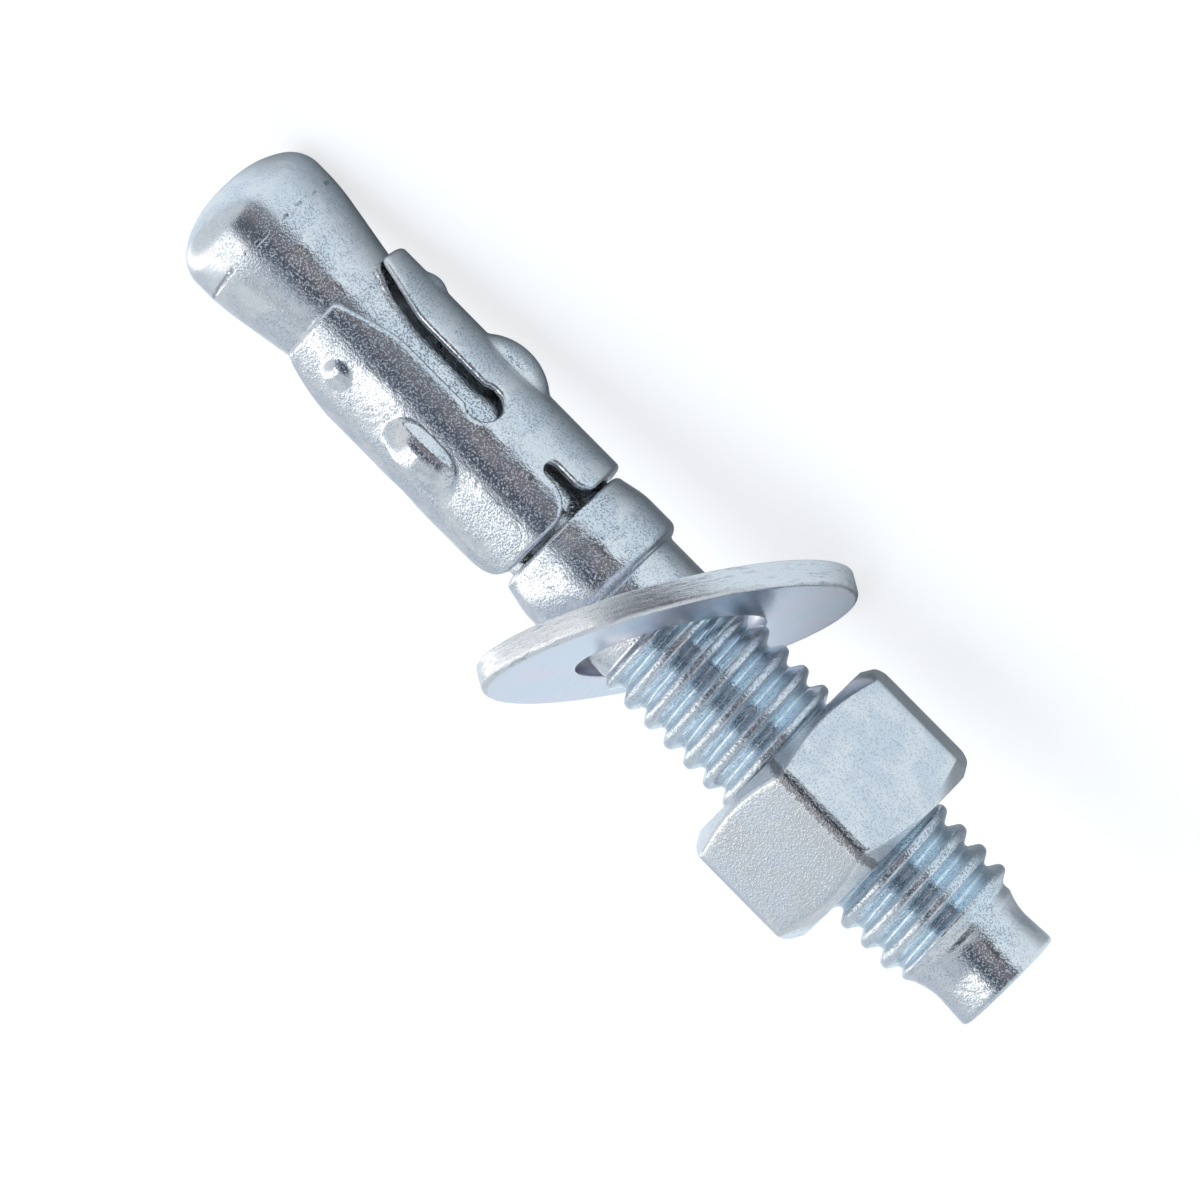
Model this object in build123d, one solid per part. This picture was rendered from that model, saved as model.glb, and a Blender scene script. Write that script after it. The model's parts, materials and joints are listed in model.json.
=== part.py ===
from build123d import *
from math import acos, asin, atan, atan2, cos, degrees, hypot, radians, sin, sqrt, tan
import os

# A 3/8 in wedge anchor, 2-1/2 in long, in millimetres. Each piece is drawn on the bench with the
# anchor's axis along +Z: the dog end at z = 0, the cone head at the top, and angles about the axis
# measured from +X towards +Y. The assembly is then laid down as it rests on a table, on its cone
# head and the rim of its leaning washer, with the bench's +Y up and the cone head towards +X.

# The stud, one cold-formed bar. Its 16 turns per inch of rolled thread are a plain cylinder here,
# at the thread's outer radius.
stud_length = 63.5
dog_end_r = 3.5
dog_corner = 0.3
dog_waist_r = 3.4
dog_waist_z = 2.1
dog_blend_r = 3.9
thread_r = 4.46
thread_end = 28.2
thread_end_chamfer_deg = 45
shank_r = 4.12
collar_start = 31.5
collar_length = 4.6
collar_r = 4.81
collar_shank_chamfer = 0.3
collar_taper_length = 2.0
collar_edge_r = 4.48
collar_neck_chamfer = 0.3
neck_r = 3.75
head_r = 4.87
head_land = 0.6
taper_deg = 9.5
taper_round_r = 14.0
nose_corner_r = 2.2
nose_corner_deg = 55
nose_crown_r = 5.3

# The expansion clip, spring sheet rolled round the neck and open along one of its slots
clip_length = 17.7
clip_sheet = 0.8
clip_end_play = 0.2
clip_clearance = 0.08
finger_count = 3
first_slot_deg = 66.5
seam_slot = 0
seam_width = 0.5
seam_mouth_width = 6.1
seam_round = 4.0
slot_length = 11.1
slot_width = 1.75
slot_end_r = 1.15
slot_mouth_width = 4.2
slot_mouth_length = 3.9
slot_throat_round = 3.0
slot_corner_round = 0.7
notch_depth = 2.8
notch_width = 0.9
notch_round_left = 1.9
notch_round_right = 1.0
corner_sink = 0.05
bump_from_collar = 8.2
bump_length = 5.0
bump_height = 0.95
bump_roof_deg = 108
pip_from_tip = 2.9
pip_width = 1.7
pip_height = 0.26

# The flat washer, punched, with one broken edge
washer_od = 22.1
washer_hole_d = 11.2
washer_thickness = 1.5
washer_edge_chamfer = 0.3
washer_clearance = 0.1

# The hexagon nut, with a plain bore over the thread
nut_across_flats = 14.29
nut_thickness = 8.33
nut_start = 10.1
nut_turn_deg = 36.5
nut_chamfer_face_r = 6.4
nut_chamfer_deg = 30
nut_countersink_r = 4.9
nut_clearance = 0.08

# How far a cutting tool runs past the piece it cuts
overrun = 1.0

# Places and sizes that follow
collar_end = collar_start + collar_length
nose_turn = radians(nose_corner_deg)
nose_length = nose_corner_r * sin(nose_turn) + nose_crown_r * (1 - sin(nose_turn))
nose_start = stud_length - nose_length
taper_end = nose_start - head_land
taper_turn = radians(taper_deg)
taper_round_z = taper_end - taper_round_r * sin(taper_turn)
taper_round_end_r = head_r - taper_round_r * (1 - cos(taper_turn))
clip_start = collar_end + clip_end_play
clip_tip = clip_start + clip_length


def taper_radius(z):
    """The head's radius below its land: a large round, then a straight taper."""
    if z > taper_round_z:
        return head_r - taper_round_r + sqrt(taper_round_r**2 - min(z - taper_end, 0) ** 2)
    return taper_round_end_r - (taper_round_z - z) * tan(taper_turn)


# The clip's bore clears the neck, and the taper as far up as its fingers reach
clip_bore_r = max(neck_r, taper_radius(clip_tip)) + clip_clearance
clip_r = clip_bore_r + clip_sheet

# The washer leans until its bore meets the thread below the axis and the shank above it
bore_passes = thread_r + shank_r + 2 * washer_clearance
washer_lean = acos(bore_passes / hypot(washer_hole_d, washer_thickness)) - atan(
    washer_thickness / washer_hole_d
)
washer_y = (shank_r - thread_r) / 2

# There its upper half rests against the collar's outer edge
touch_r = collar_r - collar_shank_chamfer
touch_reach = washer_thickness / 2 + washer_clearance + (touch_r - washer_y) * sin(washer_lean)
washer_z = collar_start - touch_reach / cos(washer_lean)


def turned(section):
    """A solid of revolution from its half section, drawn as (radius, height)."""
    return revolve(Plane.XZ * section, axis=Axis.Z)


def make_stud():
    """The dog end, the threaded length, the shank, the collar, the neck and the cone head, turned
    as one half section."""
    blend_deg = degrees(acos(1 - (thread_r - dog_waist_r) / dog_blend_r))
    fade_length = (thread_r - shank_r) / tan(radians(thread_end_chamfer_deg))
    neck_top_z = taper_round_z - (taper_round_end_r - neck_r) / tan(taper_turn)
    with BuildSketch() as section:
        with BuildLine():
            dog = Polyline(
                (0, 0),
                (dog_end_r - dog_corner, 0),
                (dog_end_r, dog_corner),
                (dog_waist_r, dog_waist_z),
            )
            blend = JernArc(dog @ 1, (0, 1), dog_blend_r, -blend_deg)
            body = Polyline(
                blend @ 1,
                (thread_r, thread_end),
                (shank_r, thread_end + fade_length),
                (shank_r, collar_start),
                (collar_r - collar_shank_chamfer, collar_start),
                (collar_r, collar_start + collar_shank_chamfer),
                (collar_r, collar_end - collar_taper_length),
                (collar_edge_r, collar_end - collar_neck_chamfer),
                (collar_edge_r - collar_neck_chamfer, collar_end),
                (neck_r, collar_end),
                (neck_r, neck_top_z),
                (taper_round_end_r, taper_round_z),
            )
            shoulder = JernArc(
                body @ 1, (sin(taper_turn), cos(taper_turn)), taper_round_r, taper_deg
            )
            land = Line(shoulder @ 1, (head_r, nose_start))
            corner = JernArc(land @ 1, (0, 1), nose_corner_r, nose_corner_deg)
            crown = JernArc(corner @ 1, corner % 1, nose_crown_r, 90 - nose_corner_deg)
            Polyline(crown @ 1, (0, stud_length), (0, 0))
        make_face()
    return turned(section.sketch)


def slot_plane(number):
    """A plane facing outwards through the axis at one of the clip's slots, with its x round the
    clip and its y along the axis from the collar end."""
    angle = radians(first_slot_deg + number * 360 / finger_count)
    outward = (cos(angle), sin(angle), 0)
    across = (-sin(angle), cos(angle), 0)
    return Plane(origin=(0, 0, clip_start), x_dir=across, z_dir=outward)


def slot_outline(mouth_width):
    """A long slot, open at the tip: a round closed end, parallel sides and a wide mouth between
    the rounded corners of two fingers."""
    half = slot_width / 2
    mouth = mouth_width / 2
    end_y = clip_length - slot_length + slot_end_r
    throat_y = clip_length - slot_mouth_length
    lip_y = clip_length + corner_sink
    past_x = mouth + slot_corner_round
    side = [(half, end_y), (half, throat_y), (mouth, lip_y), (past_x, lip_y)]
    side.append((past_x, clip_length + overrun))
    points = side + [(-x, y) for x, y in reversed(side)]
    rounds = [0, slot_throat_round, slot_corner_round, 0, 0]
    with BuildSketch() as outline:
        with BuildLine():
            FilletPolyline(*points, radius=rounds + rounds[::-1], close=True)
        make_face()
        with Locations((0, end_y)):
            Circle(slot_end_r)
    return outline.sketch


def notch_outline(width, depth, left_round, right_round):
    """A notch with a round end, open at the collar end, that flares between the rounded corners
    of two fingers."""
    half = width / 2
    with BuildSketch() as outline:
        with BuildLine():
            left = Line((-half - left_round, -overrun), (-half - left_round, -corner_sink))
            corner = JernArc(left @ 1, (1, 0), left_round, 90)
            side = Line(corner @ 1, (-half, depth - half))
            end = JernArc(side @ 1, (0, 1), half, -180)
            side = Line(end @ 1, (half, right_round - corner_sink))
            corner = JernArc(side @ 1, (0, -1), right_round, 90)
            Polyline(corner @ 1, (half + right_round, -overrun), left @ 0)
        make_face()
    return outline.sketch


def pressed_bump():
    """A bump pressed out of a finger, with its origin on the sheet under the bump's top: two
    cylinders, curved along the finger, that meet like a roof in a crease with pointed ends."""
    lean = radians(bump_roof_deg / 2)
    rise = bump_height * sin(lean)
    curve_r = (rise**2 + bump_length**2 / 4) / (2 * rise)
    bump = Pos(-clip_sheet, 0, 0) * Box(
        clip_sheet + 2 * bump_height,
        bump_length,
        2 * bump_length,
        align=(Align.MIN, Align.CENTER, Align.CENTER),
    )
    for side in (1, -1):
        outward = Vector(sin(lean), side * cos(lean), 0)
        down = Vector(-cos(lean), side * sin(lean), 0)
        centre = Vector(bump_height, 0, 0) - outward * curve_r
        bump &= Plane(origin=centre, z_dir=down) * Cylinder(curve_r, 2 * bump_length)
    return bump


def make_clip():
    """The rolled sleeve with its bumps and pips, then its bore, its hollows, its slots, and
    opposite each slot a notch, or the seam that runs on where the ends of the sheet meet."""
    upwards = (Align.CENTER, Align.CENTER, Align.MIN)
    clip = Pos(0, 0, clip_start) * Cylinder(clip_r, clip_length, align=upwards)
    bore = Cylinder(clip_bore_r, clip_length + 2 * overrun, align=upwards)
    pip_r = (pip_width**2 / 4 + pip_height**2) / (2 * pip_height)
    reach = clip_r + bump_height + overrun
    cuts = [Pos(0, 0, clip_start - overrun) * bore]
    for number in range(finger_count):
        finger = Rot(0, 0, first_slot_deg + (number + 0.5) * 360 / finger_count)
        bump_z = clip_start + bump_from_collar
        clip += finger * Pos(clip_r, 0, bump_z) * pressed_bump()
        clip += finger * Pos(clip_r + pip_height - pip_r, 0, clip_tip - pip_from_tip) * Sphere(pip_r)
        cuts.append(finger * Pos(clip_r - clip_sheet, 0, bump_z) * pressed_bump())
        if number == seam_slot:
            slot = slot_outline(seam_mouth_width)
            notch = notch_outline(seam_width, clip_length + overrun, seam_round, seam_round)
        else:
            slot = slot_outline(slot_mouth_width)
            notch = notch_outline(notch_width, notch_depth, notch_round_left, notch_round_right)
        cuts.append(extrude(slot_plane(number) * slot, reach))
        cuts.append(extrude(slot_plane(number) * notch, reach))
    for tool in cuts:
        clip -= tool
    return clip


def make_washer():
    """A flat ring with its outer edge broken on the nut's side, leaning on the shank."""
    inner = washer_hole_d / 2
    outer = washer_od / 2
    half = washer_thickness / 2
    section = Polygon(
        (inner, -half),
        (outer - washer_edge_chamfer, -half),
        (outer, washer_edge_chamfer - half),
        (outer, half),
        (inner, half),
        align=None,
    )
    return Pos(0, washer_y, washer_z) * Rot(degrees(washer_lean), 0, 0) * turned(section)


def make_nut():
    """A countersunk ring, chamfered by a cone at both faces, where a hexagonal bar fills it."""
    corner_r = nut_across_flats / sqrt(3)
    past_r = corner_r + overrun
    bore_r = thread_r + nut_clearance
    chamfer = (past_r - nut_chamfer_face_r) * tan(radians(nut_chamfer_deg))
    sink = nut_countersink_r - bore_r
    ring = Polygon(
        (bore_r, sink),
        (nut_countersink_r, 0),
        (nut_chamfer_face_r, 0),
        (past_r, chamfer),
        (past_r, nut_thickness - chamfer),
        (nut_chamfer_face_r, nut_thickness),
        (nut_countersink_r, nut_thickness),
        (bore_r, nut_thickness - sink),
        align=None,
    )
    hexagon = Rot(0, 0, nut_turn_deg) * RegularPolygon(corner_r, 6)
    return Pos(0, 0, nut_start) * (extrude(hexagon, nut_thickness) & turned(ring))


def rest_slope():
    """The angle at which the axis falls towards the cone head, where one straight line touches
    the nose's corner arc and the lowest corner of the washer."""
    outer = washer_od / 2
    half = washer_thickness / 2
    low_y = washer_y - outer * cos(washer_lean) - half * sin(washer_lean)
    low_z = washer_z - outer * sin(washer_lean) + half * cos(washer_lean)
    along = nose_start - low_z
    rise = nose_corner_r - head_r - low_y
    return atan2(rise, along) - asin(nose_corner_r / hypot(along, rise))


pieces = {
    "anchor_stud": make_stud(),
    "expansion_clip": make_clip(),
    "flat_washer": make_washer(),
    "hex_nut": make_nut(),
}

# Lay the assembly down, then put the origin on the table under the middle of its outer box
lying = Rot(0, degrees(rest_slope()), 0) * Plane.YZ.location
pieces = {name: lying * piece for name, piece in pieces.items()}
box = Compound(list(pieces.values())).bounding_box()
onto_table = Pos(-box.center().X, -box.center().Y, -box.min.Z)

os.makedirs("parts", exist_ok=True)
for name, piece in pieces.items():
    export_step(onto_table * piece, f"parts/{name}.step")
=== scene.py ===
"""A 3/8 in wedge anchor of zinc-plated steel, resting on its cone head and on its leaning washer.

Shapes are worked out in millimetres on a bench frame, with the anchor's axis along +z, the dog end
at z = 0 and angles about the axis measured from +x towards +y, and are then laid into the frame."""

import json
import math

import bpy
import numpy as np
from mathutils import Matrix


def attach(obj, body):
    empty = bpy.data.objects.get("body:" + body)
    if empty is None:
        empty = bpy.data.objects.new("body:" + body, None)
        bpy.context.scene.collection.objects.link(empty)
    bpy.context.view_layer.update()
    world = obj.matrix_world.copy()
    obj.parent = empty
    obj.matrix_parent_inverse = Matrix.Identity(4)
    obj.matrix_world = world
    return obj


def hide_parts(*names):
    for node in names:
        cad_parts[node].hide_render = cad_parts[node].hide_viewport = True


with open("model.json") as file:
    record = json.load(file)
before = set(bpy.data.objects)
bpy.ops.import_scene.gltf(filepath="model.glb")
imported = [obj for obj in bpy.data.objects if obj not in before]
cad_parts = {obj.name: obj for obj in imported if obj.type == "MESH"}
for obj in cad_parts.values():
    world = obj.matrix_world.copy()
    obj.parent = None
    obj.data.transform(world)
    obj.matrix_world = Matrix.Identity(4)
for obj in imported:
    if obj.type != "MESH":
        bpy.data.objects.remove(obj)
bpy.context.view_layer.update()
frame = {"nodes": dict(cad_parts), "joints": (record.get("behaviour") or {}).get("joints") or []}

# Stud
STUD_LENGTH = 63.5
STUD_COLUMNS = 176
DOG_POLE_R = 0.15
DOG_END_R = 3.5
DOG_CORNER = 0.3
DOG_WAIST_R = 3.4
DOG_WAIST_Z = 2.1
DOG_BLEND_R = 3.9
SHANK_R = 4.12
COLLAR_START = 31.5
COLLAR_END = 36.1
COLLAR_R = 4.81
COLLAR_ROUND = 0.6
COLLAR_TAPER_LENGTH = 2.0
COLLAR_EASE = 0.5
COLLAR_EASE_DROPS = (0.015, 0.085)
COLLAR_EDGE_R = 4.48
COLLAR_NECK_ROUND = 0.4
STEP_FILLET = 0.25
NECK_R = 3.75
HEAD_R = 4.87
HEAD_LAND = 0.6
TAPER = math.radians(9.5)
TAPER_ROUND_R = 14.0
NOSE_CORNER_R = 2.2
NOSE_TURN = math.radians(55)
NOSE_CROWN_R = 5.3
NOSE_POLE_R = 0.05

# Thread. A run-out is how far before the thread's end it starts, and its length.
PITCH = 25.4 / 16
CREST_R = 4.46
ROOT_R = 3.72
CREST_WIDTH = 0.52
ROOT_WIDTH = 1.3
CREST_BLEND = 0.28
ROOT_BLEND = 0.22
START_BLEND = 0.06
THREAD_PHASE = 0.635
THREAD_END = 28.2
THREAD_STEP = 0.078
THREAD_LEAST_DEPTH = 0.25
CREST_RUNOUT = (0.35, 0.7)
ROOT_RUNOUT = (0.1, 0.55)

# Clip. SLOT_START, NOTCH_DEPTH, BUMP_Y and PIP_Y are distances from the collar end.
CLIP_START = 36.3
CLIP_LENGTH = 17.7
CLIP_OUTER_R = 4.925
CLIP_INNER_R = 4.125
CLIP_OUTER_EDGE_R = 0.3
CLIP_INNER_EDGE_R = 0.06
WIDEST_SINE = 0.98
FIRST_SLOT = math.radians(66.5)
SEAM_SLOT = 0
SEAM_HALF = 0.25
SEAM_MOUTH_HALF = 3.05
SEAM_ROUND = 4.0
SLOT_HALF = 0.875
SLOT_START = 6.6
SLOT_END_R = 1.15
MOUTH_HALF = 2.1
MOUTH_LENGTH = 3.9
THROAT_BLEND = 0.12
TIP_ROUND = 0.7
TIP_PAST = 0.05
NOTCH_DEPTH = 2.8
NOTCH_HALF = 0.45
NOTCH_ROUND_LEFT = 1.9
NOTCH_ROUND_RIGHT = 1.0
BUMP_Y = 8.2
BUMP_R = 1.5
BUMP_LONG_R = 3.76
BUMP_REACH = 3.0
BUMP_HEIGHT = 0.95
BUMP_BLEND = 0.05
PIP_Y = 14.8
PIP_R = 0.85
PIP_HEIGHT = 0.26
PIP_BLEND = 0.06
PRESS_INSIDE = 0.85

# Washer, and how it leans
WASHER_R = 11.05
WASHER_HOLE_R = 5.6
WASHER_THICKNESS = 1.5
WASHER_ROLL_R = 0.38
WASHER_EDGE_R = 0.1
WASHER_BOW = 0.0327
WASHER_COLUMNS = 192
WASHER_LEAN = math.radians(31.386)
WASHER_AT = (0.0, -0.17, 27.656)

# Nut
NUT_START = 10.1
NUT_THICKNESS = 8.33
NUT_APOTHEM = 14.29 / 2
NUT_TURN = math.radians(36.5)
NUT_EDGE_ROUND = 0.9
NUT_FACE_R = 6.4
NUT_CHAMFER = math.radians(30)
NUT_CHAMFER_BLEND = 0.12
NUT_SINK_R = 4.9
NUT_MINOR_R = 3.97
NUT_MAJOR_R = 4.54
NUT_BORE_START = 0.9
NUT_RUNOUT = 0.3
NUT_THREAD_PLAY = 0.12
WORN_CORNER = 2
WORN_SHIFT = 0.2
UNWORN = 3.0

# Camera. The view's width, in metres, is 1200 pixels at 17.6 to the millimetre. The aim is where
# the middle of the stud's axis lies in it, in metres to the right of its centre and above it.
ELEVATION = math.radians(18.5)
ROLL = math.radians(-141.9)
LENS_MM = 200.0
SENSOR_MM = 36.0
VIEW_WIDTH = 1200 / 17.6 / 1000
AIM_RIGHT = 0.000867
AIM_UP = 0.000858


def bench_placement():
    """The bench's turn and origin in the frame, from the clip's hinge and the stud's dog end."""
    hinge = next(joint for joint in frame["joints"] if joint["name"] == "clip_turn")
    along = np.array(hinge["axis"], float)
    along /= np.linalg.norm(along)
    on_axis = np.array(hinge["pos_m"], float)
    sideways = np.array((0.0, 1.0, 0.0))
    turn = np.column_stack((sideways, np.cross(along, sideways), along))
    stud = frame["nodes"]["anchor_stud"].data
    points = np.array([v.co for v in stud.vertices])
    dog_end = ((points - on_axis) @ along).min()
    return turn, on_axis + along * dog_end


TURN, ORIGIN = bench_placement()


# ---------------------------------------------------------------- meshes


def cylindrical(radius, angle, z):
    """Points (radius cos angle, radius sin angle, z), for arrays of one shape."""
    return np.stack(np.broadcast_arrays(radius * np.cos(angle), radius * np.sin(angle), z), -1)


def grid_quads(rows, columns, close_rows=False, close_columns=True):
    """The four corner numbers of each cell of a grid whose point (i, j) has number
    i * columns + j. A closed direction joins its last line to its first."""
    i = np.arange(rows if close_rows else rows - 1)[:, None]
    j = np.arange(columns if close_columns else columns - 1)[None, :]
    next_i = (i + 1) % rows
    next_j = (j + 1) % columns
    quads = np.stack(
        np.broadcast_arrays(
            i * columns + j, i * columns + next_j, next_i * columns + next_j, next_i * columns + j
        ),
        -1,
    )
    return quads.reshape(-1, 4)


def fan(pole, ring, reverse=False):
    """Triangles from one pole to each edge of a closed ring of point numbers."""
    following = np.roll(ring, -1)
    first, second = (following, ring) if reverse else (ring, following)
    return np.column_stack((np.full(len(ring), pole), first, second))


def keep(obj, name, values, kind="FLOAT"):
    """Keeps a number for each point of a mesh, or three with the kind FLOAT_VECTOR, for the
    finishes."""
    kept = obj.data.attributes.new(name, kind, "POINT")
    part = "vector" if kind == "FLOAT_VECTOR" else "value"
    kept.data.foreach_set(part, values.astype(np.float32).ravel())
    return obj


def mesh_object(name, bench, *faces):
    """An object whose points are laid from the bench into the frame as ORIGIN + TURN p / 1000. The
    points on the bench are kept as "bench", in millimetres."""
    bench = bench.reshape(-1, 3)
    corners = np.concatenate([f.ravel() for f in faces]).astype(np.int32)
    sizes = np.concatenate([np.full(len(f), f.shape[1]) for f in faces])
    starts = np.concatenate(([0], np.cumsum(sizes)[:-1])).astype(np.int32)
    mesh = bpy.data.meshes.new(name)
    mesh.vertices.add(len(bench))
    placed = ORIGIN + bench @ TURN.T / 1000
    mesh.vertices.foreach_set("co", placed.astype(np.float32).ravel())
    mesh.loops.add(len(corners))
    mesh.loops.foreach_set("vertex_index", corners)
    mesh.polygons.add(len(starts))
    mesh.polygons.foreach_set("loop_start", starts)
    mesh.polygons.foreach_set("use_smooth", np.ones(len(starts), bool))
    mesh.update(calc_edges=True)
    mesh.validate()
    obj = bpy.data.objects.new(name, mesh)
    bpy.context.scene.collection.objects.link(obj)
    return keep(obj, "bench", bench, "FLOAT_VECTOR")


def arc(centre_z, centre_r, radius, start, end, count):
    """Points (z, r) on an arc: centre + radius (sin a, cos a), for a from start to end, with a
    measured from the outward radius towards +z."""
    a = np.linspace(start, end, count)
    return np.column_stack((centre_z + radius * np.sin(a), centre_r + radius * np.cos(a)))


def line(z0, r0, z1, r1, count):
    """Points (z, r) evenly spaced from one point up to, but not including, another."""
    t = np.arange(count)[:, None] / count
    return np.array((z0, r0)) * (1 - t) + np.array((z1, r1)) * t


def smooth_step(t):
    """t^2 (3 - 2t), with t held between 0 and 1."""
    t = np.clip(t, 0, 1)
    return t * t * (3 - 2 * t)


def soft_max(a, b, blend):
    """The larger of two values, rounded where they meet:
    (a + b + sqrt((a - b)^2 + blend^2)) / 2."""
    return (a + b + np.sqrt((a - b) ** 2 + blend**2)) / 2


def soft_min(a, b, blend):
    """The smaller of two values, rounded where they meet."""
    return -soft_max(-a, -b, blend)


def ridge_height(z, angle, crest_width, root_width):
    """The thread's ridge, 1 on its crest and 0 in its root. With d the distance along the axis
    from the ridge's middle, which climbs one pitch a turn, the flank is
    (root/2 - d) / (root/2 - crest/2), rounded at both of its ends."""
    turns = (z - THREAD_PHASE) / PITCH - angle / (2 * math.pi)
    d = np.abs(turns - np.round(turns)) * PITCH
    flank = (root_width / 2 - d) / (root_width / 2 - crest_width / 2)
    return np.clip(soft_max(soft_min(flank, 1.0, CREST_BLEND), 0.0, ROOT_BLEND), 0, 1.02)


# ---------------------------------------------------------------- stud


def dog_blend(z):
    """The concave blend from the dog's waist: waist + R - sqrt(R^2 - (z - waist z)^2)."""
    rise = np.clip(z - DOG_WAIST_Z, 0, DOG_BLEND_R * 0.99)
    return DOG_WAIST_R + DOG_BLEND_R - np.sqrt(DOG_BLEND_R**2 - rise**2)


def run_out(z, before, length):
    """0 along the thread, 1 on the shank and smooth from one to the other."""
    return smooth_step((z - THREAD_END + before) / length)


def make_stud():
    """A surface of revolution whose radius is root + ridge (crest - root) along the thread, where
    root and crest both follow the dog's blend at one end and the shank at the other. The attribute
    "threaded" is 1 along the thread, and "valley" is 1 - ridge there."""
    nose_length = NOSE_CORNER_R * math.sin(NOSE_TURN) + NOSE_CROWN_R * (1 - math.sin(NOSE_TURN))
    nose_start = STUD_LENGTH - nose_length
    taper_end = nose_start - HEAD_LAND
    round_r = HEAD_R - TAPER_ROUND_R
    round_start = taper_end - TAPER_ROUND_R * math.sin(TAPER)
    round_start_r = round_r + TAPER_ROUND_R * math.cos(TAPER)
    neck_top = round_start - (round_start_r - NECK_R) / math.tan(TAPER)
    corner_r = HEAD_R - NOSE_CORNER_R
    crown_z = nose_start + (NOSE_CORNER_R - NOSE_CROWN_R) * math.sin(NOSE_TURN)
    crown_r = corner_r + (NOSE_CORNER_R - NOSE_CROWN_R) * math.cos(NOSE_TURN)
    crown_stop = math.acos((NOSE_POLE_R - crown_r) / NOSE_CROWN_R)
    quarter = math.pi / 2
    collar_side = COLLAR_START + COLLAR_ROUND
    taper_start = COLLAR_END - COLLAR_TAPER_LENGTH
    early_r, late_r = (COLLAR_R - drop for drop in COLLAR_EASE_DROPS)
    round_z = COLLAR_END - COLLAR_NECK_ROUND
    dog = np.concatenate(
        (
            line(0, DOG_POLE_R, 0, DOG_END_R - DOG_CORNER, 9),
            arc(DOG_CORNER, DOG_END_R - DOG_CORNER, DOG_CORNER, -quarter, 0, 6),
            line(DOG_CORNER + 0.1, DOG_END_R, DOG_WAIST_Z, DOG_WAIST_R, 10),
        )
    )
    thread_z = np.arange(DOG_WAIST_Z, THREAD_END + 1.2, THREAD_STEP)
    head = np.concatenate(
        (
            line(thread_z[-1] + 0.2, SHANK_R, COLLAR_START - STEP_FILLET, SHANK_R, 5),
            arc(COLLAR_START - STEP_FILLET, SHANK_R + STEP_FILLET, -STEP_FILLET, 0, -quarter, 5),
            arc(collar_side, COLLAR_R - COLLAR_ROUND, COLLAR_ROUND, -quarter, 0, 9),
            line(collar_side + 0.15, COLLAR_R, taper_start - COLLAR_EASE, COLLAR_R, 6),
            line(taper_start - COLLAR_EASE, COLLAR_R, taper_start, early_r, 2),
            line(taper_start, early_r, taper_start + COLLAR_EASE, late_r, 2),
            line(taper_start + COLLAR_EASE, late_r, round_z, COLLAR_EDGE_R, 6),
            arc(round_z, COLLAR_EDGE_R - COLLAR_NECK_ROUND, COLLAR_NECK_ROUND, 0, quarter, 10),
            line(COLLAR_END, NECK_R + 0.2, COLLAR_END, NECK_R, 2),
            line(COLLAR_END, NECK_R, neck_top, NECK_R, 8),
            line(neck_top, NECK_R, round_start, round_start_r, 14),
            arc(taper_end, round_r, TAPER_ROUND_R, -TAPER, 0, 12),
            line(taper_end + HEAD_LAND / 2, HEAD_R, nose_start, HEAD_R, 1),
            arc(nose_start, corner_r, NOSE_CORNER_R, 0, NOSE_TURN, 14)[:-1],
            arc(crown_z, crown_r, NOSE_CROWN_R, NOSE_TURN, crown_stop, 14),
        )
    )
    z = np.concatenate((dog[:, 0], thread_z, head[:, 0]))[:, None]
    angle = np.linspace(0, 2 * math.pi, STUD_COLUMNS, endpoint=False)[None, :]
    fade = run_out(thread_z, *ROOT_RUNOUT)
    root = np.minimum(ROOT_R, dog_blend(thread_z)) * (1 - fade) + SHANK_R * fade
    tip = run_out(thread_z, *CREST_RUNOUT)
    crest = soft_min(CREST_R, dog_blend(thread_z), START_BLEND) * (1 - tip) + SHANK_R * tip
    ridge = ridge_height(thread_z[:, None], angle, CREST_WIDTH, ROOT_WIDTH)
    threaded_r = root[:, None] + ridge * np.maximum(crest - root, 0)[:, None]
    plain = np.ones_like(angle)
    radius = np.concatenate((dog[:, 1:] * plain, threaded_r, head[:, 1:] * plain))
    rows = len(z)
    first = np.arange(STUD_COLUMNS)
    last = (rows - 1) * STUD_COLUMNS + first
    poles = np.array(((0, 0, 0), (0, 0, STUD_LENGTH)))
    points = np.concatenate((cylindrical(radius, angle, z).reshape(-1, 3), poles))
    stud = mesh_object(
        "stud",
        points,
        grid_quads(rows, STUD_COLUMNS),
        fan(rows * STUD_COLUMNS, first, reverse=True),
        fan(rows * STUD_COLUMNS + 1, last),
    )
    threaded = ((1 - fade) * (crest > root + THREAD_LEAST_DEPTH))[:, None] * plain
    before = len(dog) * STUD_COLUMNS
    after = len(points) - before - threaded.size
    for name, values in (("threaded", threaded), ("valley", (1 - ridge) * threaded)):
        keep(stud, name, np.pad(values.ravel(), (before, after)))
    return stud


# ---------------------------------------------------------------- clip


def tip_corner(mouth_half):
    """The centre (x, y) of the arc that rounds a finger's corner at the tip, and the mouth's slope.
    The arc touches the mouth's side and a line just past the tip."""
    slope = (mouth_half - SLOT_HALF) / MOUTH_LENGTH
    y = CLIP_LENGTH + TIP_PAST - TIP_ROUND
    x = mouth_half - slope * (CLIP_LENGTH - y) + TIP_ROUND * math.hypot(1, slope)
    return x, y, slope


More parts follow.
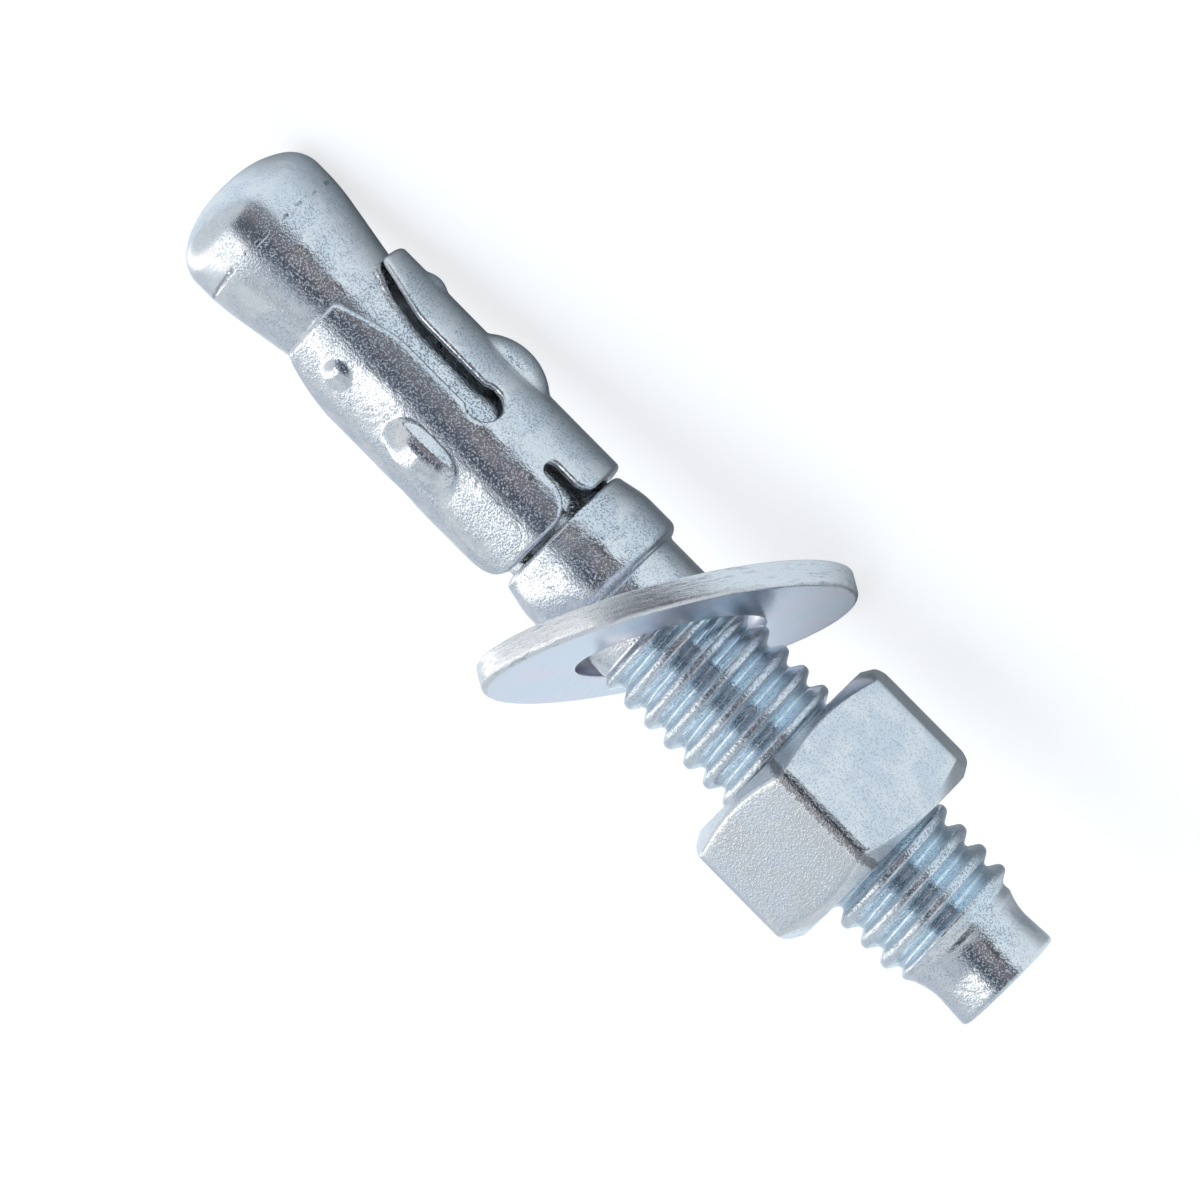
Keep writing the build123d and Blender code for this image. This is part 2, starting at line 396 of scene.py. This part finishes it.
def slot_gap(y, mouth_half):
    """Half the slot's width at a distance y from the collar end: the round end
    sqrt(r^2 - (y - centre)^2), the parallel sides, a mouth that widens evenly after a rounded
    throat, and the rounded corner x - sqrt(R^2 - (y - centre)^2). It is 0 before the slot
    starts."""
    centre = SLOT_START + SLOT_END_R
    round_end = np.sqrt(np.clip(SLOT_END_R**2 - (y - centre) ** 2, 0, None))
    corner_x, corner_y, slope = tip_corner(mouth_half)
    mouth = SLOT_HALF + slope * (y - CLIP_LENGTH + MOUTH_LENGTH)
    touch_y = corner_y + TIP_ROUND * slope / math.hypot(1, slope)
    past = np.clip(y - corner_y, 0, TIP_ROUND)
    corner = corner_x - np.sqrt(TIP_ROUND**2 - past**2)
    sides = soft_max(np.where(y > touch_y, corner, mouth), SLOT_HALF, THROAT_BLEND)
    gap = np.where(y < centre, round_end, np.maximum(round_end, sides))
    return np.where(y < SLOT_START, 0, gap)


def notch_gap(y, half, depth, corner_r):
    """Half the width of a notch on one side: a flare half + R - sqrt(R^2 - (R - y)^2), the stem
    and the round end. It is 0 past the notch's depth."""
    flare = corner_r - np.sqrt(np.clip(corner_r**2 - np.clip(corner_r - y, 0, None) ** 2, 0, None))
    round_end = np.sqrt(np.clip(half**2 - np.clip(y - depth + half, 0, None) ** 2, 0, None))
    return np.where(y > depth, 0, flare + round_end)


def edge_distance(x, y, mouth_half, half, depth, corner_r):
    """How far a point of a finger lies from the nearest cut edge, for x from the slot's middle and
    y from the collar end: the least of its distances to the slot, the notch and both ends."""
    centre = SLOT_START + SLOT_END_R
    circle = np.hypot(x, y - centre) - SLOT_END_R
    side = np.where(y > centre, x - slot_gap(y, mouth_half), circle)
    slot = np.minimum(circle, side)
    end_y = depth - half
    stem = np.where(y > end_y, np.hypot(x, y - end_y), x) - half
    in_flare = (y < corner_r) & (x < half + corner_r)
    flare = corner_r - np.hypot(x - half - corner_r, y - corner_r)
    notch = np.where(in_flare, flare, np.where(y < corner_r, y, stem))
    ends = np.minimum(y, CLIP_LENGTH - y)
    corner_x, corner_y, slope = tip_corner(mouth_half)
    in_corner = (x < corner_x) & (y - corner_y > slope * (corner_x - x))
    corner = TIP_ROUND - np.hypot(x - corner_x, y - corner_y)
    nearest = np.minimum(np.minimum(slot, notch), ends)
    return np.where(in_corner, np.maximum(corner, 0), nearest)


def edge_drop(distance, radius):
    """How far a rounded edge falls away: r - sqrt(r^2 - (r - d)^2) within r of the edge."""
    inward = np.clip(radius - distance, 0, radius)
    return radius - np.sqrt(radius**2 - inward**2)


def pressed_height(x, y):
    """The bump, a ridge h + sqrt(a^2 - x^2) - a + sqrt(b^2 - y^2) - b that allows for the sheet's
    own curve x^2 / 2R, and the pip, h (1 - (d/r)^2). x is measured from the finger's middle."""
    along = np.minimum(np.abs(y - BUMP_Y), BUMP_REACH)
    across = np.minimum(np.abs(x), BUMP_R)
    bump = BUMP_HEIGHT + np.sqrt(BUMP_R**2 - across**2) - BUMP_R
    bump = bump + np.sqrt(BUMP_LONG_R**2 - along**2) - BUMP_LONG_R
    bump = bump + across**2 / (2 * CLIP_OUTER_R)
    pip = PIP_HEIGHT * (1 - (x**2 + (y - PIP_Y) ** 2) / PIP_R**2)
    return soft_max(bump, 0, BUMP_BLEND) + soft_max(pip, 0, PIP_BLEND)


def clip_rows():
    """Distances along the clip, closer together at its ends and at the notch's and slot's ends."""
    near = np.array((0, 0.004, 0.016, 0.04, 0.075, 0.12, 0.18, 0.26, 0.36, 0.48, 0.62, 0.8))
    turn = np.linspace(0, math.pi / 2, 12)
    notch_end = NOTCH_DEPTH - NOTCH_HALF * (1 - np.cos(turn))
    slot_end = SLOT_START + SLOT_END_R * (1 - np.cos(turn))
    bridge = np.concatenate((NOTCH_DEPTH + near[1:7], np.linspace(3.15, 6.25, 18)))
    before_slot = SLOT_START - near[1:7]
    tip = CLIP_LENGTH - near
    rest = np.concatenate((np.linspace(0.95, 2.25, 9), np.linspace(7.9, 16.8, 60)))
    every = np.concatenate((near, notch_end, bridge, before_slot, slot_end, rest, tip))
    return np.unique(np.round(every, 5))


def make_clip():
    """Three fingers of sheet, each a grid from one slot's edge to the next. Their outer and inner
    faces are radii R + press - drop and r + inside press + drop, the fingers are joined where no
    slot or notch parts them, and a wall joins the two faces along every free edge."""
    y = clip_rows()[:, None]
    offsets = np.array((0, 0.004, 0.015, 0.035, 0.065, 0.1, 0.14, 0.19, 0.28, 0.42))
    middle = np.linspace(0, 1, 66)[1:-1]
    finger = 2 * math.pi / 3
    outer_sheet = []
    inner_sheet = []
    plain_low = (MOUTH_HALF, NOTCH_HALF, NOTCH_DEPTH, NOTCH_ROUND_RIGHT)
    plain_high = (MOUTH_HALF, NOTCH_HALF, NOTCH_DEPTH, NOTCH_ROUND_LEFT)
    seam = (SEAM_MOUTH_HALF, SEAM_HALF, CLIP_LENGTH + 1, SEAM_ROUND)
    for number in range(3):
        start = FIRST_SLOT + number * finger
        low_cut = seam if number == SEAM_SLOT else plain_low
        high_cut = seam if (number + 1) % 3 == SEAM_SLOT else plain_high
        low = np.maximum(slot_gap(y, low_cut[0]), notch_gap(y, *low_cut[1:]))
        high = np.maximum(slot_gap(y, high_cut[0]), notch_gap(y, *high_cut[1:]))
        for sheet, radius in ((outer_sheet, CLIP_OUTER_R), (inner_sheet, CLIP_INNER_R)):
            low_angle = np.arcsin(np.minimum(low / radius, WIDEST_SINE))
            high_angle = finger - np.arcsin(np.minimum(high / radius, WIDEST_SINE))
            low_edge = low_angle + offsets / radius
            high_edge = high_angle - offsets[::-1] / radius
            between = low_edge[:, -1:] + (high_edge[:, :1] - low_edge[:, -1:]) * middle
            angle = np.concatenate((low_edge, between, high_edge), axis=1)
            from_low = CLIP_OUTER_R * np.sin(np.minimum(angle, math.pi / 2))
            from_high = CLIP_OUTER_R * np.sin(np.minimum(finger - angle, math.pi / 2))
            distance = np.minimum(
                edge_distance(from_low, y, *low_cut), edge_distance(from_high, y, *high_cut)
            )
            press = pressed_height(CLIP_OUTER_R * (angle - finger / 2), y)
            if radius == CLIP_OUTER_R:
                place = radius + press - edge_drop(distance, CLIP_OUTER_EDGE_R)
            else:
                place = radius + press * PRESS_INSIDE + edge_drop(distance, CLIP_INNER_EDGE_R)
            sheet.append(cylindrical(place, start + angle, CLIP_START + y))
    return sheet_object("clip", outer_sheet, inner_sheet)


def sheet_object(name, outer_grids, inner_grids):
    """One skin from matching outer and inner grids: points that meet are merged, and each edge that
    only one outer cell uses is walled to the inner face."""
    rows, columns = outer_grids[0].shape[:2]
    cells = grid_quads(rows, columns, close_columns=False)
    size = rows * columns
    quads = np.concatenate([cells + k * size for k in range(len(outer_grids))])
    outer = np.concatenate([g.reshape(-1, 3) for g in outer_grids])
    inner = np.concatenate([g.reshape(-1, 3) for g in inner_grids])
    _, first, merged = np.unique(np.round(outer, 4), axis=0, return_index=True, return_inverse=True)
    merged = merged.ravel()
    quads = merged[quads]
    outer = outer[first]
    inner = inner[first]
    edges = np.concatenate([quads[:, [k, (k + 1) % 4]] for k in range(4)])
    edges = edges[edges[:, 0] != edges[:, 1]]
    key = edges.min(1) * len(outer) + edges.max(1)
    _, where, uses = np.unique(key, return_index=True, return_counts=True)
    free = edges[where[uses == 1]]
    count = len(outer)
    walls = np.column_stack((free[:, 1], free[:, 0], free[:, 0] + count, free[:, 1] + count))
    inside = quads[:, ::-1] + count
    return mesh_object(name, np.concatenate((outer, inner)), quads, inside, walls)


# ---------------------------------------------------------------- washer


def make_washer():
    """A closed section carried round the hole and leaned: the rim's edge is rolled over on the
    nut's side, the other edges are barely rounded, and both faces bow by
    b sin(2 a + 0.6) (r - hole r) / (washer r - hole r) at the angle a. The points before the lean
    are kept as "flat", and their radii as "reach"."""
    half = WASHER_THICKNESS / 2
    roll = WASHER_ROLL_R
    small = WASHER_EDGE_R
    quarter = math.pi / 2
    across = np.linspace(WASHER_R - roll, WASHER_HOLE_R + small, 15)[1:-1]
    back = np.linspace(WASHER_HOLE_R + small, WASHER_R - small, 15)[1:-1]
    section = np.concatenate(
        (
            arc(half - small, WASHER_R - small, small, quarter, 0, 5),
            arc(roll - half, WASHER_R - roll, roll, 0, -quarter, 9),
            np.column_stack((np.full_like(across, -half), across)),
            arc(small - half, WASHER_HOLE_R + small, small, -quarter, -math.pi, 5),
            arc(half - small, WASHER_HOLE_R + small, small, -math.pi, -3 * quarter, 5),
            np.column_stack((np.full_like(back, half), back)),
        )
    )
    angle = np.linspace(0, 2 * math.pi, WASHER_COLUMNS, endpoint=False)[None, :]
    radius = section[:, 1:] * np.ones_like(angle)
    out = (radius - WASHER_HOLE_R) / (WASHER_R - WASHER_HOLE_R)
    flat = cylindrical(radius, angle, section[:, :1] + WASHER_BOW * np.sin(2 * angle + 0.6) * out)
    lean = np.array(
        (
            (1, 0, 0),
            (0, math.cos(WASHER_LEAN), -math.sin(WASHER_LEAN)),
            (0, math.sin(WASHER_LEAN), math.cos(WASHER_LEAN)),
        )
    )
    quads = grid_quads(len(section), WASHER_COLUMNS, close_rows=True)[:, ::-1]
    washer = mesh_object("washer", flat @ lean.T + WASHER_AT, quads)
    keep(washer, "flat", flat, "FLOAT_VECTOR")
    return keep(washer, "reach", radius)


# ---------------------------------------------------------------- nut


def make_nut():
    """A closed section carried round the axis. The outside is the softly smallest of the six flats
    apothem / cos(angle - flat), joined by arcs at their edges, and the chamfer cone
    face_r + depth / tan(chamfer), and the bore is minor + (major - minor) ridge, with the stud's
    own ridge made wider. The distance from the worn corner, a little to one side of it, is kept as
    "beside"."""
    sector = (1 - np.cos(np.linspace(0, math.pi, 33)[:-1])) / 2
    angle = NUT_TURN + (np.arange(6)[:, None] + sector).ravel() * math.pi / 3
    angle = angle[None, :]
    chamfer_rows = np.linspace(0, 1.35, 16)
    outer_z = np.concatenate((chamfer_rows, np.linspace(1.6, NUT_THICKNESS - 1.6, 8)))
    outer_z = np.concatenate((outer_z, NUT_THICKNESS - chamfer_rows[::-1]))[:, None]
    from_corner = (angle - NUT_TURN) % (math.pi / 3)
    flat = NUT_APOTHEM / np.cos(from_corner - math.pi / 6)
    centre_r = (NUT_APOTHEM - NUT_EDGE_ROUND) / math.cos(math.pi / 6)
    to_corner = np.minimum(from_corner, math.pi / 3 - from_corner)
    beside = centre_r * np.sin(to_corner)
    edge = centre_r * np.cos(to_corner) + np.sqrt(np.clip(NUT_EDGE_ROUND**2 - beside**2, 0, None))
    touch = math.atan2(NUT_EDGE_ROUND * 0.5, centre_r + NUT_EDGE_ROUND * math.cos(math.pi / 6))
    flat = np.where(to_corner < touch, edge, flat)
    depth = np.minimum(outer_z, NUT_THICKNESS - outer_z)
    cone = NUT_FACE_R + depth / math.tan(NUT_CHAMFER)
    outside = soft_min(flat, cone, NUT_CHAMFER_BLEND)
    ring = np.ones_like(angle)
    face_r = np.linspace(NUT_FACE_R - 0.15, NUT_SINK_R, 7)[:, None]
    sink = np.linspace(0, NUT_SINK_R - NUT_MINOR_R, 6)[1:, None]
    bore_z = np.linspace(NUT_THICKNESS - 1.0, 1.0, 80)[:, None]
    widths = (CREST_WIDTH + NUT_THREAD_PLAY, ROOT_WIDTH + NUT_THREAD_PLAY)
    ridge = ridge_height(NUT_START + bore_z, angle, *widths)
    inward = np.minimum(bore_z, NUT_THICKNESS - bore_z) - NUT_BORE_START
    bore = NUT_MINOR_R + (NUT_MAJOR_R - NUT_MINOR_R) * ridge * smooth_step(inward / NUT_RUNOUT)
    z = np.concatenate(
        (
            outer_z,
            np.full_like(face_r, NUT_THICKNESS),
            NUT_THICKNESS - sink,
            bore_z,
            sink[::-1],
            np.zeros_like(face_r),
        )
    )
    radius = np.concatenate(
        (
            outside,
            face_r * ring,
            (NUT_SINK_R - sink) * ring,
            bore,
            (NUT_SINK_R - sink[::-1]) * ring,
            face_r[::-1] * ring,
        )
    )
    points = cylindrical(radius, angle * np.ones_like(z), NUT_START + z)
    quads = grid_quads(len(z), angle.shape[1], close_rows=True)
    beside = np.abs(np.where(from_corner > math.pi / 6, -beside, beside) + WORN_SHIFT)
    corner = np.round((angle - NUT_TURN) / (math.pi / 3)) % 3
    outer = np.arange(len(z))[:, None] < len(outer_z)
    beside = np.where(outer & (corner == WORN_CORNER), beside, UNWORN)
    return keep(mesh_object("nut", points, quads), "beside", beside)


# ---------------------------------------------------------------- finishes


class Value:
    """A number on its way through a material. Arithmetic on it adds Math nodes."""

    def __init__(self, recipe, socket):
        self.recipe = recipe
        self.socket = socket

    def math(self, operation, *others):
        """An operation of the Math node on this value and others."""
        node = self.recipe.node(
            "ShaderNodeMath", {"operation": operation}, dict(enumerate((self, *others)))
        )
        return Value(self.recipe, node.outputs[0])

    def __add__(self, other):
        return self.math("ADD", other)

    def __radd__(self, other):
        return self.math("ADD", other)

    def __sub__(self, other):
        return self.math("SUBTRACT", other)

    def __rsub__(self, other):
        return (self * -1.0).math("ADD", other)

    def __mul__(self, other):
        return self.math("MULTIPLY", other)

    def __rmul__(self, other):
        return self.math("MULTIPLY", other)

    def between(self, low, high):
        """0 at low, 1 at high and smooth from one to the other."""
        node = self.recipe.node(
            "ShaderNodeMapRange",
            {"interpolation_type": "SMOOTHSTEP"},
            {"Value": self, "From Min": low, "From Max": high},
        )
        return Value(self.recipe, node.outputs[0])


class Recipe:
    """The nodes of one material or of the world."""

    def __init__(self, tree):
        self.tree = tree
        tree.nodes.clear()

    def node(self, kind, settings=None, inputs=None):
        """A node of a kind, with its settings and then its sockets' values or links. The setting
        "stops" gives a ramp's (position, colour) pairs."""
        made = self.tree.nodes.new(kind)
        for key, value in (settings or {}).items():
            if key == "stops":
                ramp = made.color_ramp.elements
                while len(ramp) < len(value):
                    ramp.new(0.5)
                for element, (position, colour) in zip(ramp, value):
                    element.position = position
                    element.color = (*colour, 1)
            else:
                setattr(made, key, value)
        for key, value in (inputs or {}).items():
            socket = value.socket if isinstance(value, Value) else value
            if isinstance(socket, bpy.types.NodeSocket):
                self.tree.links.new(socket, made.inputs[key])
            else:
                made.inputs[key].default_value = socket
        return made

    def attribute(self, name):
        """A vector kept on the mesh, as a socket."""
        return self.node("ShaderNodeAttribute", {"attribute_name": name}).outputs["Vector"]

    def kept(self, name):
        """A number kept on the mesh."""
        made = self.node("ShaderNodeAttribute", {"attribute_name": name})
        return Value(self, made.outputs["Fac"])

    def stretched(self, vector, factors):
        """A vector times a fixed one, part by part."""
        node = self.node(
            "ShaderNodeVectorMath", {"operation": "MULTIPLY"}, {0: vector, 1: factors}
        )
        return node.outputs[0]

    def noise(self, vector, scale, detail=2.0, roughness=0.5, distortion=0.0):
        """Noise from 0 to 1 on a vector times the scale."""
        node = self.node(
            "ShaderNodeTexNoise",
            None,
            {
                "Vector": vector,
                "Scale": scale,
                "Detail": detail,
                "Roughness": roughness,
                "Distortion": distortion,
            },
        )
        return Value(self, node.outputs["Fac"])

    def mix(self, factor, first, second):
        """One colour at 0 and another at 1, as a socket."""
        node = self.node("ShaderNodeMix", {"data_type": "RGBA"}, {"Factor": factor})
        for socket, colour in ((node.inputs[6], first), (node.inputs[7], second)):
            if isinstance(colour, bpy.types.NodeSocket):
                self.tree.links.new(colour, socket)
            else:
                socket.default_value = (*colour, 1)
        return node.outputs[2]

    def metal(self, colour, roughness, height, distance):
        """A Principled metal whose normals come from a height. A height of 1 stands for the
        distance, in metres."""
        bump = self.node("ShaderNodeBump", None, {"Height": height, "Distance": distance})
        shader = self.node(
            "ShaderNodeBsdfPrincipled",
            None,
            {
                "Base Color": colour,
                "Metallic": 1.0,
                "Roughness": roughness,
                "Normal": bump.outputs[0],
            },
        )
        self.node("ShaderNodeOutputMaterial", None, {"Surface": shader.outputs[0]})


def new_material(name):
    """A material and the empty recipe for its nodes."""
    material = bpy.data.materials.new(name)
    material.use_nodes = True
    return material, Recipe(material.node_tree)


# The plating's colours, what a height of 1 stands for in metres, and where the taper ends
ZINC = (0.8, 0.81, 0.82)
ZINC_COOL = (0.71, 0.75, 0.79)
ZINC_BLUE = (0.7, 0.82, 0.9)
ZINC_PALE_BLUE = (0.69, 0.75, 0.83)
ZINC_LILAC = (0.76, 0.73, 0.82)
GRIT = (0.3, 0.32, 0.37)
WORN_STEEL = (0.2, 0.2, 0.21)
RELIEF = 0.00005
NUT_RELIEF = 0.00004
HEAD_RING_Z = 59.4


def grained(recipe, bench):
    """Fine grains of the plating, the pits among them, and the patches where they stand out."""
    fine = recipe.noise(bench, 9.0, 1.0)
    grain = 0.3 * recipe.noise(bench, 3.6, 1.0) + 0.7 * fine
    patch = recipe.noise(bench, 0.42, 3.0, 0.6, 0.4).between(0.38, 0.58)
    return grain, fine.between(0.57, 0.67), patch


def dirtied(recipe, patch, dirt):
    """The colour of zinc, cooler in its patches, with grit where dirt is 1."""
    return recipe.mix(dirt, recipe.mix(patch, ZINC, ZINC_COOL), GRIT)


def specks(grain, strength):
    """Grit between the grains."""
    return grain.between(0.52, 0.6) * strength


def stud_zinc():
    """Bright zinc, grainy where the bar was drawn, bluer and finely streaked on the thread, with a
    nicked ring where the cone head's taper ends."""
    material, recipe = new_material("stud zinc")
    bench = recipe.attribute("bench")
    valley = recipe.kept("valley")
    threaded = recipe.kept("threaded")
    grain, pits, patch = grained(recipe, bench)
    streak = recipe.noise(recipe.stretched(bench, (0.5, 0.5, 11.0)), 1.3, 3.0, 0.7)
    along = Value(recipe, recipe.node("ShaderNodeSeparateXYZ", None, {0: bench}).outputs["Z"])
    ring = 1 - (along - HEAD_RING_Z).math("ABSOLUTE").between(0.04, 0.2)
    nick = ring * recipe.noise(bench, 1.1, 2.0).between(0.46, 0.58)
    dirt = specks(grain, 0.04 + 0.14 * patch).math("MAXIMUM", nick * 0.75)
    blue = threaded * (0.25 + 0.75 * valley)
    blued = recipe.mix(blue, dirtied(recipe, patch, dirt), ZINC_BLUE)
    colour = recipe.mix(threaded * streak.between(0.52, 0.64) * 0.3, blued, GRIT)
    land = along.between(HEAD_RING_Z - 0.8, HEAD_RING_Z + 0.8)
    roughness = 0.08 + 0.07 * patch + 0.1 * land
    coarse = (0.15 + 0.45 * patch) * (1 - 0.8 * land) * (1 - 0.7 * valley)
    coarse = coarse + 0.2 * threaded * (1 - valley)
    height = (grain + pits * 1.6) * coarse + streak * (0.08 + 0.22 * threaded) - nick
    recipe.metal(colour, roughness, height, RELIEF)
    return material


def clip_zinc():
    """Bright zinc on rolled sheet, grainy in patches, with faint scratches along it."""
    material, recipe = new_material("clip zinc")
    bench = recipe.attribute("bench")
    grain, pits, patch = grained(recipe, bench)
    scratch = recipe.noise(recipe.stretched(bench, (2.4, 2.4, 0.25)), 2.0, 2.0, 0.6)
    colour = dirtied(recipe, patch, specks(grain, 0.04 + 0.14 * patch))
    height = (grain + pits * 1.6) * (0.12 + 0.38 * patch) + scratch * 0.15
    recipe.metal(colour, 0.09 + 0.07 * patch, height, RELIEF)
    return material


def washer_zinc():
    """Pale blue and lilac zinc with fine straight scratches on the faces, and a rough bright rim
    with dark streaks along it."""
    material, recipe = new_material("washer zinc")
    flat = recipe.attribute("flat")
    rim = recipe.kept("reach").between(10.62, 10.85)
    scratch = recipe.noise(recipe.stretched(flat, (0.35, 7.0, 1.0)), 1.2, 3.0, 0.6)
    cloud = recipe.noise(flat, 0.22, 2.0)
    streak = recipe.noise(recipe.stretched(flat, (0.5, 0.5, 4.0)), 1.3, 4.0, 0.75)
    face = recipe.mix(cloud.between(0.38, 0.62), ZINC_PALE_BLUE, ZINC_LILAC)
    streaked = recipe.mix(streak.between(0.52, 0.66) * 0.5, ZINC, GRIT)
    colour = recipe.mix(rim, face, streaked)
    roughness = 0.18 + 0.1 * scratch + 0.04 * rim
    recipe.metal(colour, roughness, scratch * 0.25 * (1 - rim) + streak * rim, RELIEF)
    return material


def nut_zinc():
    """Satin zinc on a forged nut, finely grained, and dark and pitted beside its worn corner."""
    material, recipe = new_material("nut zinc")
    bench = recipe.attribute("bench")
    grain, pits, patch = grained(recipe, bench)
    worn = 1 - (recipe.kept("beside") + (grain - 0.5) * 0.8).between(0.18, 0.4)
    colour = recipe.mix(worn * 0.8, dirtied(recipe, patch, specks(grain, 0.07)), WORN_STEEL)
    recipe.metal(colour, 0.14 + 0.08 * patch, grain * (0.3 + worn) + pits * 0.3, NUT_RELIEF)
    return material


# ---------------------------------------------------------------- stage


WHITE = (1.0, 1.0, 1.0)
FLOOR_HALF = 4.0
FLOOR_TINT = (0.8, 0.92, 1.0)
FLOOR_GREY = (0.43, 0.45, 0.47)
FRONT_GREY = (0.13, 0.125, 0.14)
FLOOR_GLOW = 0.63

# Where the bench top and the painted shadow beneath the object fade, in metres from the floor's
# middle
TOP_FRONT = (-0.09, -0.06)
PAINTED_SHADOW_FRONT = (-0.009, 0.001)
PAINTED_SHADOW_BACK = (0.025, 0.06)
PAINTED_SHADOW_ENDS = (0.03, 0.04)

# The room's colours, from the front horizon at 0 over the top at 0.5 to the back horizon at 1
ROOM_BANDS = (
    (0.0, (0.22, 0.215, 0.24)),
    (0.1, (0.22, 0.21, 0.24)),
    (0.15, (0.09, 0.105, 0.14)),
    (0.22, (0.09, 0.11, 0.15)),
    (0.28, (0.34, 0.38, 0.45)),
    (0.34, (0.56, 0.61, 0.68)),
    (0.42, (0.56, 0.61, 0.67)),
    (0.49, (0.5, 0.555, 0.61)),
    (0.56, (0.66, 0.72, 0.78)),
    (0.7, (0.64, 0.69, 0.75)),
    (1.0, (0.6, 0.65, 0.72)),
)
END_WALLS = (0.72, 0.76, 0.8)
SOFTBOX = (1.7, 1.7, 1.7)

# Where they fade, on the same scale from front to back and by the direction's X sideways
WALLS_START = (0.5, 0.72)
SOFTBOX_FRONT = (0.265, 0.31)
SOFTBOX_BACK = (-0.19, -0.11)
SOFTBOX_SLANT = 3.2
SOFTBOX_NEAR_END = (0.08, 0.18)
SOFTBOX_FAR_END = (0.45, 0.65)


def make_floor():
    """A floor that is white to the eye and keeps the object's shadow. In the metal it glows pale
    blue on the bench top, apart from a painted shadow beneath the object where the glow is left
    out, and is dark in front of it."""
    material, recipe = new_material("white floor")
    path = recipe.node("ShaderNodeLightPath").outputs
    place = recipe.node("ShaderNodeTexCoord").outputs["Object"]
    split = recipe.node("ShaderNodeSeparateXYZ", None, {0: place}).outputs
    across = Value(recipe, split["Y"])
    along = Value(recipe, split["X"]).math("ABSOLUTE")
    # Painted shadow: beneath the object the metal sees no glow from the floor, standing in for the
    # object's own shadow there.
    painted_shadow = across.between(*PAINTED_SHADOW_FRONT) * (1 - across.between(*PAINTED_SHADOW_BACK))
    outside_painted_shadow = 1 - painted_shadow * (1 - along.between(*PAINTED_SHADOW_ENDS))
    seen = Value(recipe, path["Is Camera Ray"])
    top = across.between(*TOP_FRONT)
    mirrored = Value(recipe, path["Is Glossy Ray"]) * outside_painted_shadow * top
    tint = recipe.mix(seen, FLOOR_TINT, WHITE)
    own = recipe.mix(top, FRONT_GREY, FLOOR_GREY)
    diffuse = recipe.node("ShaderNodeBsdfDiffuse", None, {"Color": own})
    strength = seen * (0.98 - 0.26 * top) + mirrored * FLOOR_GLOW
    glow = recipe.node("ShaderNodeEmission", None, {"Color": tint, "Strength": strength})
    both = recipe.node("ShaderNodeAddShader", None, {0: diffuse.outputs[0], 1: glow.outputs[0]})
    recipe.node("ShaderNodeOutputMaterial", None, {"Surface": both.outputs[0]})
    corners = np.array(((-1, -1, 0), (1, -1, 0), (1, 1, 0), (-1, 1, 0))) * FLOOR_HALF
    mesh = bpy.data.meshes.new("floor")
    mesh.from_pydata(corners.tolist(), [], [(0, 1, 2, 3)])
    floor = bpy.data.objects.new("floor", mesh)
    bpy.context.scene.collection.objects.link(floor)
    mesh.materials.append(material)


def light_world():
    """A studio all round, white to the eye. In the metal it follows the angle about the X axis,
    dark at the front up to about 45 degrees and pale overhead and behind, with pale walls at both
    ends and one narrow softbox overhead, towards the cone head."""
    world = bpy.data.worlds.new("studio")
    world.use_nodes = True
    bpy.context.scene.world = world
    recipe = Recipe(world.node_tree)
    direction = recipe.node("ShaderNodeTexCoord").outputs["Generated"]
    split = recipe.node("ShaderNodeSeparateXYZ", None, {0: direction}).outputs
    sideways = Value(recipe, split["X"])
    up = Value(recipe, split["Z"])
    front = Value(recipe, split["Y"]) * -1.0
    angle = up.math("ARCTAN2", front) * (1 / math.pi)
    room = recipe.node("ShaderNodeValToRGB", {"stops": ROOM_BANDS}, {"Fac": angle})
    slanted = angle - sideways * SOFTBOX_SLANT
    box = angle.between(*SOFTBOX_FRONT) * (1 - slanted.between(*SOFTBOX_BACK))
    box = box * sideways.between(*SOFTBOX_NEAR_END) * (1 - sideways.between(*SOFTBOX_FAR_END))
    ends = sideways.math("ABSOLUTE").between(*WALLS_START)
    lit = recipe.mix(box, recipe.mix(ends, room.outputs["Color"], END_WALLS), SOFTBOX)
    seen = Value(recipe, recipe.node("ShaderNodeLightPath").outputs["Is Camera Ray"])
    colour = recipe.mix(seen, lit, WHITE)
    shader = recipe.node("ShaderNodeBackground", None, {"Color": colour, "Strength": 1.0})
    recipe.node("ShaderNodeOutputWorld", None, {"Surface": shader.outputs[0]})


def make_camera():
    """A long lens at the height and turn that show the anchor from its front, rolled so that the
    axis runs down to the right."""
    right = np.array((1.0, 0.0, 0.0))
    upward = np.array((0.0, math.sin(ELEVATION), math.cos(ELEVATION)))
    back = np.array((0.0, -math.cos(ELEVATION), math.sin(ELEVATION)))
    turned_right = math.cos(ROLL) * right + math.sin(ROLL) * upward
    turned_up = -math.sin(ROLL) * right + math.cos(ROLL) * upward
    middle = ORIGIN + TURN @ np.array((0, 0, STUD_LENGTH / 2)) / 1000
    target = middle - turned_right * AIM_RIGHT - turned_up * AIM_UP
    place = np.identity(4)
    eye = target + back * VIEW_WIDTH * LENS_MM / SENSOR_MM
    place[:3] = np.column_stack((turned_right, turned_up, back, eye))
    data = bpy.data.cameras.new("camera")
    data.lens = LENS_MM
    data.sensor_width = SENSOR_MM
    camera = bpy.data.objects.new("camera", data)
    bpy.context.scene.collection.objects.link(camera)
    camera.matrix_world = Matrix(place.tolist())
    bpy.context.scene.camera = camera


def dress(obj, node, body, material):
    """A finished piece stands for its solid, rides on its body and takes its finish."""
    obj.data.materials.append(material)
    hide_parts(node)
    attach(obj, body)


dress(make_stud(), "anchor_stud", "stud", stud_zinc())
dress(make_clip(), "expansion_clip", "clip", clip_zinc())
dress(make_washer(), "flat_washer", "washer", washer_zinc())
dress(make_nut(), "hex_nut", "nut", nut_zinc())
make_floor()
light_world()
make_camera()

bpy.context.scene.view_settings.view_transform = "Standard"
